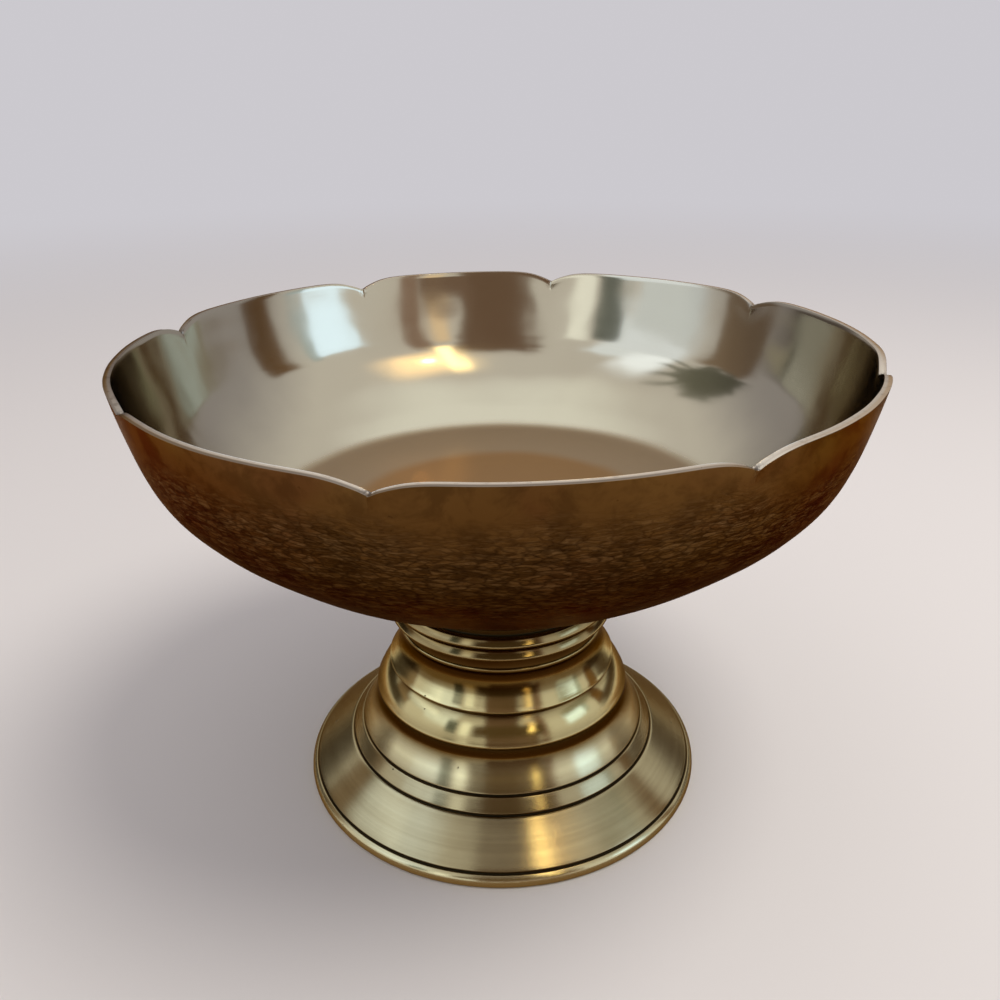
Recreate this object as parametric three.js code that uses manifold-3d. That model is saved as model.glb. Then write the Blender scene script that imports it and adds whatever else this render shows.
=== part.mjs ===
// Brass pedestal bowl: a spun bowl with an eight-lobed rim, standing on a turned, hollow foot.
// A flanged stud, brazed under the bowl, draws bowl, collar and foot together with a washer and a nut.
// Units are millimetres, +Z is up, and the origin is the centre of the circle that the foot stands on.
// The front of the bowl faces -Y.

import * as THREE from 'three';
import { mergeVertices } from 'three/addons/utils/BufferGeometryUtils.js';
import Module from 'manifold-3d';

const wasm = await Module();
wasm.setup();

// Overall sizes
const RIM_RADIUS = 95.0;
const BOWL_HEIGHT = 49.2;
const NECK_HEIGHT = 31.7;
const FOOT_HEIGHT = 47.6;
const FOOT_RADIUS = 58.2;

// Bowl. It seats on the collar, which its seat overhangs. Its floor is nearly flat out to a soft bend.
const BOWL_WALL = 1.7;
const SEAT_OVERHANG = 1.0;
const LOBE_COUNT = 8;
const FIRST_NOTCH_DEG = -13.8;
const NOTCH_DIP = 2.6;
const NOTCH_PINCH = 0.8;
const NOTCH_SPREAD_DEG = 3.2;
const CREASE_DEPTH = 8.0;
const BOWL_SEGMENTS = 80;
// Share of its steps that the bowl crowds towards its notches, where the rim bends most.
const NOTCH_CROWDING = 0.75;
// The bowl's line between its seat and its rim, as shares of that run and rise: floor, bend and wall
const FLOOR_BEND = [[0, 0], [0.339, 0.026], [0.414, 0.036], [0.461, 0.054], [0.507, 0.088]];
const WALL_BEND = [[0.596, 0.165], [0.752, 0.321], [0.862, 0.476], [0.92, 0.628], [0.97, 0.835], [1, 1]];
const STEPS_PER_BEND = 2;

// Collar between bowl and foot: a lip and a hollow flare over a plain ring, beads, a taper and a land
const COLLAR_RADIUS = 29.6;
const COLLAR_TOP_RADIUS = 38.0;
const COLLAR_LIP_HEIGHT = 1.5;
const COLLAR_HOLLOW = 2.4;
const COLLAR_RING_HEIGHT = 1.2;
const COLLAR_WALL = 4.0;
const BEAD_BULGE = 2.2;
const BEAD_HEIGHT = 3.3;
const BEAD_COUNT = 2;
const BEAD_STEPS = 5;
const COLLAR_TAPER_HEIGHT = 1.0;
const COLLAR_LAND_HEIGHT = 2.2;
const COLLAR_LAND_INSET = 0.6;

// Foot, from its top down. A ring's projection is how far it stands out past the foot's top edge,
// and its drop is how far it lies below that edge.
const FOOT_TOP_OVERHANG = 0.5;
const FOOT_LIP_HEIGHT = 0.9;
const COVE_PROJECTION = -1.2;
const COVE_DROP = 3.0;
const BAND_TOP_PROJECTION = 1.1;
const BAND_TOP_DROP = 6.4;
const STEP_PROJECTION = 2.9;
const STEP_DROP = 12.1;
const STEP_RETURN = 0.2;
const SWELL_PROJECTION = 7.2;
const SWELL_DROP = 20.4;
const FLARE_PROJECTION = 11.0;
const FLARE_DROP = 23.8;
// How far the middle of each curved stretch stands out from its chord, or lies behind it where negative
const LIP_BULGE = -0.15;
const COVE_BULGE = -0.4;
const BAND_BULGE = 0.7;
const SWELL_BULGE = 0.9;
const FLARE_BULGE = -0.5;
const CONE_TOP_BULGE = -0.3;
const FOOT_EDGE_BULGE = 0.35;
const MOULDING_STEPS = 5;
// The cone's bend between the flare and the foot's edge, as shares of that run and fall
const CONE_BEND = [[0, 0], [0.079, 0.3407], [0.26, 0.5044], [0.904, 0.8894], [1, 1]];
// The two upper cut lines are measured out from the flare, the lowest in from the foot's edge.
const UPPER_GROOVE_OFFSET = 1.4;
const MIDDLE_GROOVE_OFFSET = 4.6;
const LOWER_GROOVE_INSET = 1.7;
const GROOVE_DEPTH = 0.7;
const GROOVE_HALF_WIDTH = 0.45;
const FOOT_EDGE_HEIGHT = 1.2;
const FOOT_EDGE_CHAMFER = 0.5;
const FOOT_WALL = 3.4;
const FOOT_WEB = 4.0;
const FOOT_STAND_WIDTH = 5.2;

// Fixings
const STUD_RADIUS = 3.0;
const STUD_STAND_OUT = 8.0;
const STUD_FLANGE_RADIUS = 9.0;
const STUD_FLANGE_HEIGHT = 1.6;
const STUD_CHAMFER = 0.6;
const STUD_CLEARANCE = 0.4;
const WASHER_RADIUS = 10.0;
const WASHER_HEIGHT = 1.6;
const NUT_WALL = 2.0;
const NUT_HEIGHT = 5.0;
const NUT_CHAMFER = 0.7;
const NUT_CORNER_CLEARANCE = 0.1;
const THREAD_GAP = 0.3;

const TURNED_SEGMENTS = 64;
const FIXING_SEGMENTS = 32;
const TURN = Math.PI * 2;
// Corners closer than this are one point.
const SAME_POINT = 1e-4;

// Heights and radii that follow from the sizes
const SEAT_Z = FOOT_HEIGHT + NECK_HEIGHT;
const RIM_Z = SEAT_Z + BOWL_HEIGHT;
const WEB_UNDERSIDE_Z = FOOT_HEIGHT - FOOT_WEB;
const WASHER_UNDERSIDE_Z = WEB_UNDERSIDE_Z - WASHER_HEIGHT;
const NUT_UNDERSIDE_Z = WASHER_UNDERSIDE_Z - NUT_HEIGHT;
const STUD_BOTTOM_Z = NUT_UNDERSIDE_Z - STUD_STAND_OUT;
const BOWL_SEAT_RADIUS = COLLAR_TOP_RADIUS + SEAT_OVERHANG;
const COLLAR_LAND_RADIUS = COLLAR_RADIUS - COLLAR_LAND_INSET;
const FOOT_TOP_RADIUS = COLLAR_LAND_RADIUS + FOOT_TOP_OVERHANG;
const STUD_HOLE_RADIUS = STUD_RADIUS + STUD_CLEARANCE;

function point(radius, height) {
  return new THREE.Vector2(radius, height);
}

// A shape turned about the Z axis from a profile of radius and height, as one closed mesh.
function turned(profile, segments) {
  const geometry = new THREE.LatheGeometry(profile, segments);
  geometry.rotateX(Math.PI / 2);
  return closed(geometry);
}

// Shared corners become one, and triangles that lost an edge on the axis are dropped.
function closed(geometry) {
  geometry.deleteAttribute('normal');
  geometry.deleteAttribute('uv');
  const merged = mergeVertices(geometry, SAME_POINT);
  const corners = merged.getIndex().array;
  const kept = [];
  for (let i = 0; i < corners.length; i += 3) {
    const [a, b, c] = corners.slice(i, i + 3);
    if (a !== b && b !== c && c !== a) kept.push(a, b, c);
  }
  merged.setIndex(kept);
  return merged;
}

function solid(geometry) {
  const vertProperties = geometry.getAttribute('position').array;
  const triVerts = new Uint32Array(geometry.getIndex().array);
  return new wasm.Manifold(new wasm.Mesh({ numProp: 3, vertProperties, triVerts }));
}

function fromSolid(body) {
  const mesh = body.getMesh();
  const geometry = new THREE.BufferGeometry();
  geometry.setAttribute('position', new THREE.BufferAttribute(mesh.vertProperties, 3));
  geometry.setIndex(new THREE.BufferAttribute(mesh.triVerts, 1));
  return geometry;
}

// Points of a bulging or hollow stretch from one point to another, standing out by its rise at mid length.
function bowed(from, to, rise, steps = MOULDING_STEPS) {
  const along = to.clone().sub(from);
  const outward = point(-along.y, along.x).normalize();
  const points = [];
  for (let i = 1; i < steps; i += 1) {
    const t = i / steps;
    const lift = 4 * t * (1 - t) * rise;
    points.push(from.clone().addScaledVector(along, t).addScaledVector(outward, lift));
  }
  points.push(to);
  return points;
}

// The bowl's outer line from its seat to its rim.
function bowlLine() {
  const run = RIM_RADIUS - BOWL_SEAT_RADIUS;
  const bend = [...FLOOR_BEND, ...WALL_BEND];
  const places = bend.map(([x, y]) => point(BOWL_SEAT_RADIUS + x * run, SEAT_Z + y * BOWL_HEIGHT));
  return new THREE.SplineCurve(places).getPoints(STEPS_PER_BEND * (bend.length - 1));
}

// The same line moved inwards by the wall, each point along its own normal.
function insideOf(line, wall) {
  return line.map((p, i) => {
    const before = line[Math.max(i - 1, 0)];
    const after = line[Math.min(i + 1, line.length - 1)];
    const along = after.clone().sub(before).normalize();
    return i === 0 ? point(p.x, p.y + wall) : point(p.x - along.y * wall, p.y + along.x * wall);
  });
}

// How strongly a place on the rim belongs to the nearest notch: 1 at its middle, fading to both sides.
function notchShare(angle) {
  const pitch = TURN / LOBE_COUNT;
  const from = angle / pitch;
  const offset = Math.abs(from - Math.round(from)) * pitch;
  return Math.exp(-offset / THREE.MathUtils.degToRad(NOTCH_SPREAD_DEG));
}

function makeBowl() {
  const outside = bowlLine();
  const inside = insideOf(outside, BOWL_WALL);
  inside[inside.length - 1].y = RIM_Z;
  const profile = [point(0, SEAT_Z), ...outside, ...inside.reverse(), point(0, SEAT_Z + BOWL_WALL)];
  const geometry = turned(profile, BOWL_SEGMENTS);
  const place = geometry.getAttribute('position');
  const firstNotch = THREE.MathUtils.degToRad(FIRST_NOTCH_DEG) - Math.PI / 2;
  for (let i = 0; i < place.count; i += 1) {
    const even = Math.atan2(place.getY(i), place.getX(i));
    const angle = even - NOTCH_CROWDING * Math.sin(LOBE_COUNT * even) / LOBE_COUNT;
    const depth = (RIM_Z - place.getZ(i)) / CREASE_DEPTH;
    const share = notchShare(angle) * Math.exp(-depth * depth);
    const radius = Math.hypot(place.getX(i), place.getY(i)) - NOTCH_PINCH * share;
    const x = radius * Math.cos(angle + firstNotch);
    const y = radius * Math.sin(angle + firstNotch);
    place.setXYZ(i, x, y, place.getZ(i) - NOTCH_DIP * share);
  }
  return geometry;
}

// One half-round bead of the collar, from its top groove to its bottom groove.
function bead(top) {
  const from = point(COLLAR_RADIUS, top);
  const to = point(COLLAR_RADIUS, top - BEAD_HEIGHT);
  return bowed(from, to, BEAD_BULGE, BEAD_STEPS);
}

function makeCollar() {
  const landTop = FOOT_HEIGHT + COLLAR_LAND_HEIGHT;
  const beadTop = landTop + COLLAR_TAPER_HEIGHT + BEAD_COUNT * BEAD_HEIGHT;
  const ringTop = beadTop + COLLAR_RING_HEIGHT;
  const lip = point(COLLAR_TOP_RADIUS, SEAT_Z - COLLAR_LIP_HEIGHT);
  const outline = [point(COLLAR_TOP_RADIUS, SEAT_Z), lip];
  outline.push(...bowed(lip, point(COLLAR_RADIUS, ringTop), -COLLAR_HOLLOW));
  outline.push(point(COLLAR_RADIUS, beadTop));
  for (let i = 0; i < BEAD_COUNT; i += 1) {
    outline.push(...bead(beadTop - i * BEAD_HEIGHT));
  }
  outline.push(point(COLLAR_LAND_RADIUS, landTop));
  outline.push(point(COLLAR_LAND_RADIUS, FOOT_HEIGHT));
  const bore = COLLAR_LAND_RADIUS - COLLAR_WALL;
  const boreTop = point(bore, ringTop);
  outline.push(point(bore, FOOT_HEIGHT));
  outline.push(boreTop);
  outline.push(...bowed(boreTop, point(COLLAR_TOP_RADIUS - COLLAR_WALL, SEAT_Z), COLLAR_HOLLOW));
  outline.push(outline[0].clone());
  return turned(outline.reverse(), TURNED_SEGMENTS);
}

// A turned ring of the foot.
function ring(projection, drop) {
  return point(FOOT_TOP_RADIUS + projection, FOOT_HEIGHT - drop);
}

// The cone's surface at a radius.
function coneAt(radius) {
  const flare = ring(FLARE_PROJECTION, FLARE_DROP);
  const share = (radius - flare.x) / (FOOT_RADIUS - flare.x);
  const next = CONE_BEND.findIndex(([run]) => run > share);
  const [fromRun, fromFall] = CONE_BEND[next - 1];
  const [toRun, toFall] = CONE_BEND[next];
  const fall = fromFall + (toFall - fromFall) * (share - fromRun) / (toRun - fromRun);
  return point(radius, flare.y - fall * (flare.y - FOOT_EDGE_HEIGHT));
}

// A cut line of V section in the cone at a radius. It is square to the line from an inner to an outer place.
function groove(radius, inner, outer) {
  const middle = coneAt(radius);
  const along = coneAt(outer).sub(coneAt(inner)).normalize();
  const inward = point(along.y, -along.x);
  return [
    middle.clone().addScaledVector(along, -GROOVE_HALF_WIDTH),
    middle.clone().addScaledVector(inward, GROOVE_DEPTH),
    middle.clone().addScaledVector(along, GROOVE_HALF_WIDTH),
  ];
}

// Radii of the cone's three cut lines.
function grooveRadii() {
  const flare = FOOT_TOP_RADIUS + FLARE_PROJECTION;
  return [flare + UPPER_GROOVE_OFFSET, flare + MIDDLE_GROOVE_OFFSET, FOOT_RADIUS - LOWER_GROOVE_INSET];
}

// The foot's outer line from its top edge to the floor.
function footLine() {
  const lip = ring(0, FOOT_LIP_HEIGHT);
  const cove = ring(COVE_PROJECTION, COVE_DROP);
  const bandTop = ring(BAND_TOP_PROJECTION, BAND_TOP_DROP);
  const step = ring(STEP_PROJECTION, STEP_DROP);
  const stepBottom = ring(STEP_PROJECTION - GROOVE_DEPTH, STEP_DROP + GROOVE_HALF_WIDTH);
  const swellTop = ring(STEP_PROJECTION + STEP_RETURN, STEP_DROP + 2 * GROOVE_HALF_WIDTH);
  const swell = ring(SWELL_PROJECTION, SWELL_DROP);
  const flare = ring(FLARE_PROJECTION, FLARE_DROP);
  const edge = point(FOOT_RADIUS, FOOT_EDGE_HEIGHT);
  const [upper, middle, lower] = grooveRadii();
  const upperGroove = groove(upper, upper, middle);
  const lowerGroove = groove(lower, middle, lower);
  return [
    ring(0, 0),
    lip,
    ...bowed(lip, cove, LIP_BULGE),
    ...bowed(cove, bandTop, COVE_BULGE),
    ...bowed(bandTop, step, BAND_BULGE),
    stepBottom,
    swellTop,
    ...bowed(swellTop, swell, SWELL_BULGE),
    ...bowed(swell, flare, FLARE_BULGE),
    ...bowed(flare, upperGroove[0], CONE_TOP_BULGE),
    upperGroove[1],
    upperGroove[2],
    ...groove(middle, middle, lower),
    ...lowerGroove,
    ...bowed(lowerGroove[2], edge, FOOT_EDGE_BULGE),
    point(FOOT_RADIUS - FOOT_EDGE_CHAMFER, 0),
  ];
}

// The foot is a shell of even wall under a web, which the stud passes through.
function makeFoot() {
  const outside = footLine();
  const [upper, middle] = grooveRadii();
  const wall = point(FOOT_WALL, 0);
  const hollow = [
    point(FOOT_RADIUS - FOOT_EDGE_CHAMFER - FOOT_STAND_WIDTH, 0),
    coneAt(middle).sub(point(FOOT_WALL, FOOT_WALL / 2)),
    coneAt(upper).sub(wall),
    ring(SWELL_PROJECTION, SWELL_DROP).sub(wall),
    ring(STEP_PROJECTION, STEP_DROP).sub(wall),
    point(FOOT_TOP_RADIUS + COVE_PROJECTION - FOOT_WALL, WEB_UNDERSIDE_Z),
    point(STUD_HOLE_RADIUS, WEB_UNDERSIDE_Z),
    point(STUD_HOLE_RADIUS, FOOT_HEIGHT),
  ];
  const profile = [...outside, ...hollow, outside[0].clone()];
  return turned(profile.reverse(), TURNED_SEGMENTS);
}

// A threaded rod under a round flange, which is brazed to the middle of the bowl's underside.
function makeStud() {
  const flangeUnderside = SEAT_Z - STUD_FLANGE_HEIGHT;
  return turned([
    point(0, STUD_BOTTOM_Z),
    point(STUD_RADIUS - STUD_CHAMFER, STUD_BOTTOM_Z),
    point(STUD_RADIUS, STUD_BOTTOM_Z + STUD_CHAMFER),
    point(STUD_RADIUS, flangeUnderside),
    point(STUD_FLANGE_RADIUS, flangeUnderside),
    point(STUD_FLANGE_RADIUS, SEAT_Z),
    point(0, SEAT_Z),
  ], FIXING_SEGMENTS);
}

// A flat ring between the nut and the foot's web.
function makeWasher() {
  return turned([
    point(STUD_HOLE_RADIUS, WASHER_UNDERSIDE_Z),
    point(WASHER_RADIUS, WASHER_UNDERSIDE_Z),
    point(WASHER_RADIUS, WEB_UNDERSIDE_Z),
    point(STUD_HOLE_RADIUS, WEB_UNDERSIDE_Z),
    point(STUD_HOLE_RADIUS, WASHER_UNDERSIDE_Z),
  ], FIXING_SEGMENTS);
}

// A six-sided prism with its corners turned off top and bottom, and a bore for the stud.
function makeNut() {
  const flatRadius = STUD_RADIUS + NUT_WALL;
  const cornerRadius = flatRadius / Math.cos(Math.PI / 6);
  const prism = new THREE.CylinderGeometry(cornerRadius, cornerRadius, NUT_HEIGHT, 6);
  prism.rotateX(Math.PI / 2);
  prism.translate(0, 0, WASHER_UNDERSIDE_Z - NUT_HEIGHT / 2);
  const face = cornerRadius - NUT_CHAMFER;
  const clear = cornerRadius + NUT_CORNER_CLEARANCE;
  const bore = STUD_RADIUS + THREAD_GAP;
  const envelope = turned([
    point(bore, NUT_UNDERSIDE_Z),
    point(face, NUT_UNDERSIDE_Z),
    point(clear, NUT_UNDERSIDE_Z + NUT_CHAMFER),
    point(clear, WASHER_UNDERSIDE_Z - NUT_CHAMFER),
    point(face, WASHER_UNDERSIDE_Z),
    point(bore, WASHER_UNDERSIDE_Z),
    point(bore, NUT_UNDERSIDE_Z),
  ], FIXING_SEGMENTS);
  return fromSolid(solid(closed(prism)).intersect(solid(envelope)));
}

const FINISHES = {
  bowl: { color: 0x8a7350, roughness: 0.25, metalness: 1.0 },
  neck_collar: { color: 0xa08a4c, roughness: 0.3, metalness: 1.0 },
  pedestal_foot: { color: 0xa89650, roughness: 0.35, metalness: 1.0 },
  threaded_stud: { color: 0x9a8a60, roughness: 0.45, metalness: 1.0 },
  clamp_washer: { color: 0x9b9076, roughness: 0.45, metalness: 1.0 },
  hex_nut: { color: 0x958a6a, roughness: 0.4, metalness: 1.0 },
};

function piece(name, geometry) {
  geometry.computeVertexNormals();
  const mesh = new THREE.Mesh(geometry, new THREE.MeshStandardMaterial(FINISHES[name]));
  mesh.name = name;
  return mesh;
}

const pedestalBowl = new THREE.Group();
pedestalBowl.add(
  piece('bowl', makeBowl()),
  piece('neck_collar', makeCollar()),
  piece('pedestal_foot', makeFoot()),
  piece('threaded_stud', makeStud()),
  piece('clamp_washer', makeWasher()),
  piece('hex_nut', makeNut()),
);

export default pedestalBowl;
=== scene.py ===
"""A brass pedestal bowl: a lobed, spun bowl on a beaded collar and a turned, hollow foot.

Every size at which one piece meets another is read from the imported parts. A turned piece is its outline, a
line of radius and height, swept round the Z axis. Lengths are in metres, and a name that ends in _mm is in
millimetres. The front of the bowl faces -Y.
"""

import logging
import math
from collections.abc import Mapping, Sequence
from dataclasses import dataclass, field
from enum import Enum

import bpy
import numpy as np
from bpy.types import Material, Object
from mathutils import Matrix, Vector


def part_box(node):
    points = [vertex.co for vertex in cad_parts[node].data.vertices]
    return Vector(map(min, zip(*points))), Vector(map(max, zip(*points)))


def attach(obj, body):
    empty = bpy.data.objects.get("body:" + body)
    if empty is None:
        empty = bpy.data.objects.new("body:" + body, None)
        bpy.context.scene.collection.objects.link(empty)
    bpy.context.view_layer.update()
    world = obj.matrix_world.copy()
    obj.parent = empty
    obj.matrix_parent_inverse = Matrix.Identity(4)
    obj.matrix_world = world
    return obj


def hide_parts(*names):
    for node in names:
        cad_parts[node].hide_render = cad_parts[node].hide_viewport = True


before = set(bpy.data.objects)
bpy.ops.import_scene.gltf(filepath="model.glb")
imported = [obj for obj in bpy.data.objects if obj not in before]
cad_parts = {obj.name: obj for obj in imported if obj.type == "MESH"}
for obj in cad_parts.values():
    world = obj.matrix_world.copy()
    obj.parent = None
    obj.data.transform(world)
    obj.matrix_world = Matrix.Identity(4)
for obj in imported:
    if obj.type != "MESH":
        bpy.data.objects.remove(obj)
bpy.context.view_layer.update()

log = logging.getLogger("pedestal_bowl")
MM = 0.001
TURN = 2 * math.pi
ROOT = "root"
BOWL_MIDDLE = 0.11
NEAR_HALF = 0.49
FINE_STEPS = 24

Array = np.ndarray
Colour = tuple[float, float, float]


def mm(value: float) -> float:
    """Millimetres as metres."""
    return value * MM


class Slot(Enum):
    """The record's material slots."""

    BOWL = "bowl_brass"
    COLLAR = "collar_brass"
    FOOT = "foot_brass"
    FIXING = "fixing_brass"


class Wire:
    """A node's output. Arithmetic on it adds Math nodes."""

    def __init__(self, graph: "Graph", socket: bpy.types.NodeSocket) -> None:
        """Wraps one output socket of a graph."""
        self.graph = graph
        self.socket = socket

    def _math(self, operation: str, first: "Value", second: "Value") -> "Wire":
        """One Math node on two values or wires."""
        return self.graph.node("Math", {"operation": operation}, {0: first, 1: second})

    def __add__(self, other: "Value") -> "Wire":
        """The sum."""
        return self._math("ADD", self, other)

    __radd__ = __add__

    def __sub__(self, other: "Value") -> "Wire":
        """The difference."""
        return self._math("SUBTRACT", self, other)

    def __rsub__(self, other: "Value") -> "Wire":
        """The difference, with this wire taken away."""
        return self._math("SUBTRACT", other, self)

    def __mul__(self, other: "Value") -> "Wire":
        """The product."""
        return self._math("MULTIPLY", self, other)

    __rmul__ = __mul__

    def most(self, other: "Value") -> "Wire":
        """The larger of two."""
        return self._math("MAXIMUM", self, other)

    def least(self, other: "Value") -> "Wire":
        """The smaller of two."""
        return self._math("MINIMUM", self, other)

    def sized(self) -> "Wire":
        """The value without its sign."""
        return self._math("ABSOLUTE", self, 0.0)

    def between(self, low: float, high: float) -> "Wire":
        """A smooth step.

        Args:
            low: where it is 0.
            high: where it is 1. It may be the smaller of the two.

        Returns:
            The step.
        """
        start, end = (0.0, 1.0) if low < high else (1.0, 0.0)
        low, high = sorted((low, high))
        inputs = {"Value": self, "From Min": low, "From Max": high, "To Min": start, "To Max": end}
        return self.graph.node("MapRange", {"interpolation_type": "SMOOTHSTEP"}, inputs)


Value = Wire | float | Sequence[float]


class Graph:
    """The node tree of one material."""

    def __init__(self, name: str) -> None:
        """Makes an empty material.

        Args:
            name: its name.
        """
        self.material = bpy.data.materials.new(name)
        self.material.use_nodes = True
        self.tree = self.material.node_tree
        self.tree.nodes.clear()

    def node(
        self,
        kind: str,
        settings: Mapping[str, object] | None = None,
        inputs: Mapping[str | int, Value] | None = None,
        output: str | int | None = 0,
    ) -> Wire | None:
        """Adds a node.

        Args:
            kind: the node's type name, after the word ShaderNode.
            settings: its properties, set first.
            inputs: the values or wires of its sockets, by name or number.
            output: the output that is wanted, if any.

        Returns:
            That output as a wire.
        """
        made = self.tree.nodes.new("ShaderNode" + kind)
        for key, value in (settings or {}).items():
            setattr(made, key, value)
        for key, value in (inputs or {}).items():
            if isinstance(value, Wire):
                self.tree.links.new(value.socket, made.inputs[key])
            else:
                made.inputs[key].default_value = value
        return None if output is None else Wire(self, made.outputs[output])

    def place(self) -> Wire:
        """The point's place on the piece, in metres."""
        return self.node("TexCoord", output="Object")

    def mark(self, name: str) -> Wire:
        """One of the piece's own marks, a number at each point."""
        return self.node("Attribute", {"attribute_name": name}, output="Fac")

    def scaled(self, vector: Wire, x: float, y: float, z: float) -> Wire:
        """A vector with each part multiplied."""
        return self.node("VectorMath", {"operation": "MULTIPLY"}, {0: vector, 1: (x, y, z)})

    def along(self, axis: str) -> Wire:
        """The point's place along the X, Y or Z axis."""
        return self.node("SeparateXYZ", inputs={0: self.place()}, output=axis)

    def radius(self) -> Wire:
        """The point's distance from the axis."""
        level = self.scaled(self.place(), 1, 1, 0)
        return self.node("VectorMath", {"operation": "LENGTH"}, {0: level}, 1)

    def swept(self, along: float, across: float) -> Wire:
        """A place for patterns that run round a turned piece.

        Args:
            along: grains a metre round the axis.
            across: grains a metre down the outline.

        Returns:
            A vector of X and Y times along, and the outline's length times across.
        """
        flat = self.scaled(self.place(), along, along, 0)
        down = self.node("CombineXYZ", inputs={2: self.mark("run") * across})
        return self.node("VectorMath", {"operation": "ADD"}, {0: flat, 1: down})

    def noise(
        self, vector: Wire, scale: float, detail: float = 3.0, rough: float = 0.55, twist: float = 0.0
    ) -> Wire:
        """Noise from 0 to 1, of scale grains a unit of the vector and detail octaves."""
        inputs = {"Vector": vector, "Scale": scale, "Detail": detail, "Roughness": rough}
        return self.node("TexNoise", inputs={**inputs, "Distortion": twist})

    def warped(self, vector: Wire, scale: float, reach: float) -> Wire:
        """A vector moved about by noise.

        Args:
            vector: the vector.
            scale: the noise's grains a unit of it.
            reach: how far it is moved at most.

        Returns:
            The moved vector.
        """
        inputs = {"Vector": vector, "Scale": scale, "Detail": 2.0}
        moves = self.node("TexNoise", inputs=inputs, output="Color")
        inputs = {0: moves, 1: (reach, reach, reach), 2: vector}
        return self.node("VectorMath", {"operation": "MULTIPLY_ADD"}, inputs)

    def cells(self, vector: Wire) -> tuple[Wire, Wire]:
        """Irregular cells, as scales are.

        Args:
            vector: where they are read, with about one cell to a unit.

        Returns:
            The distance from the cell's edge, and the cell's own number from 0 to 1.
        """
        inputs = {"Vector": vector, "Scale": 1.0}
        edge = self.node("TexVoronoi", {"feature": "DISTANCE_TO_EDGE"}, inputs, "Distance")
        colour = self.node("TexVoronoi", {"feature": "F1"}, inputs, "Color")
        return edge, self.node("SeparateXYZ", inputs={0: colour})

    def layered(self, colour: Value, *layers: tuple[Value, Value]) -> Wire:
        """A colour with others laid on it in turn.

        Args:
            colour: the lowest.
            layers: each other one's share and colour.

        Returns:
            The mixed colour.
        """
        for share, over in layers:
            first, second = (c if isinstance(c, Wire) else (*c, 1.0) for c in (colour, over))
            inputs = {0: share, 6: first, 7: second}
            colour = self.node("Mix", {"data_type": "RGBA"}, inputs, output=2)
        return colour

    def bumps(self, height: Wire, depth: float) -> Wire:
        """A normal tilted by a height from 0 to 1 that stands for that depth in metres."""
        return self.node("Bump", inputs={"Strength": 1.0, "Distance": depth, "Height": height})

    def metal(
        self,
        base: Wire,
        roughness: Value,
        normal: Wire,
        metallic: Value = 1.0,
        anisotropy: float = 0.0,
        edge_tint: Colour = (1.0, 1.0, 1.0),
    ) -> Wire:
        """A metal surface.

        Args:
            base: its colour.
            roughness: its roughness.
            normal: its bumps.
            metallic: 1 for bare metal, less where dirt lies on it.
            anisotropy: how far highlights draw out across tool marks that run round the axis.
            edge_tint: the share of light that its film lets back where it is seen edge on.

        Returns:
            Its shader.
        """
        inputs = {
            "Base Color": base,
            "Roughness": roughness,
            "Metallic": metallic,
            "Normal": normal,
            "Anisotropic": anisotropy,
            "Anisotropic Rotation": 0.25,
            "Specular Tint": (*edge_tint, 1.0),
        }
        return self.node("BsdfPrincipled", inputs=inputs)

    def ended(self, shader: Wire) -> Material:
        """Links the output, and gives the finished material."""
        self.node("OutputMaterial", inputs={"Surface": shader}, output=None)
        return self.material

    def fading(self, shader: Wire, gone: Wire) -> Material:
        """The finished material of a shader that fades to nothing as gone goes to 1."""
        clear = self.node("BsdfTransparent")
        return self.ended(self.node("MixShader", inputs={0: gone, 1: shader, 2: clear}))


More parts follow.
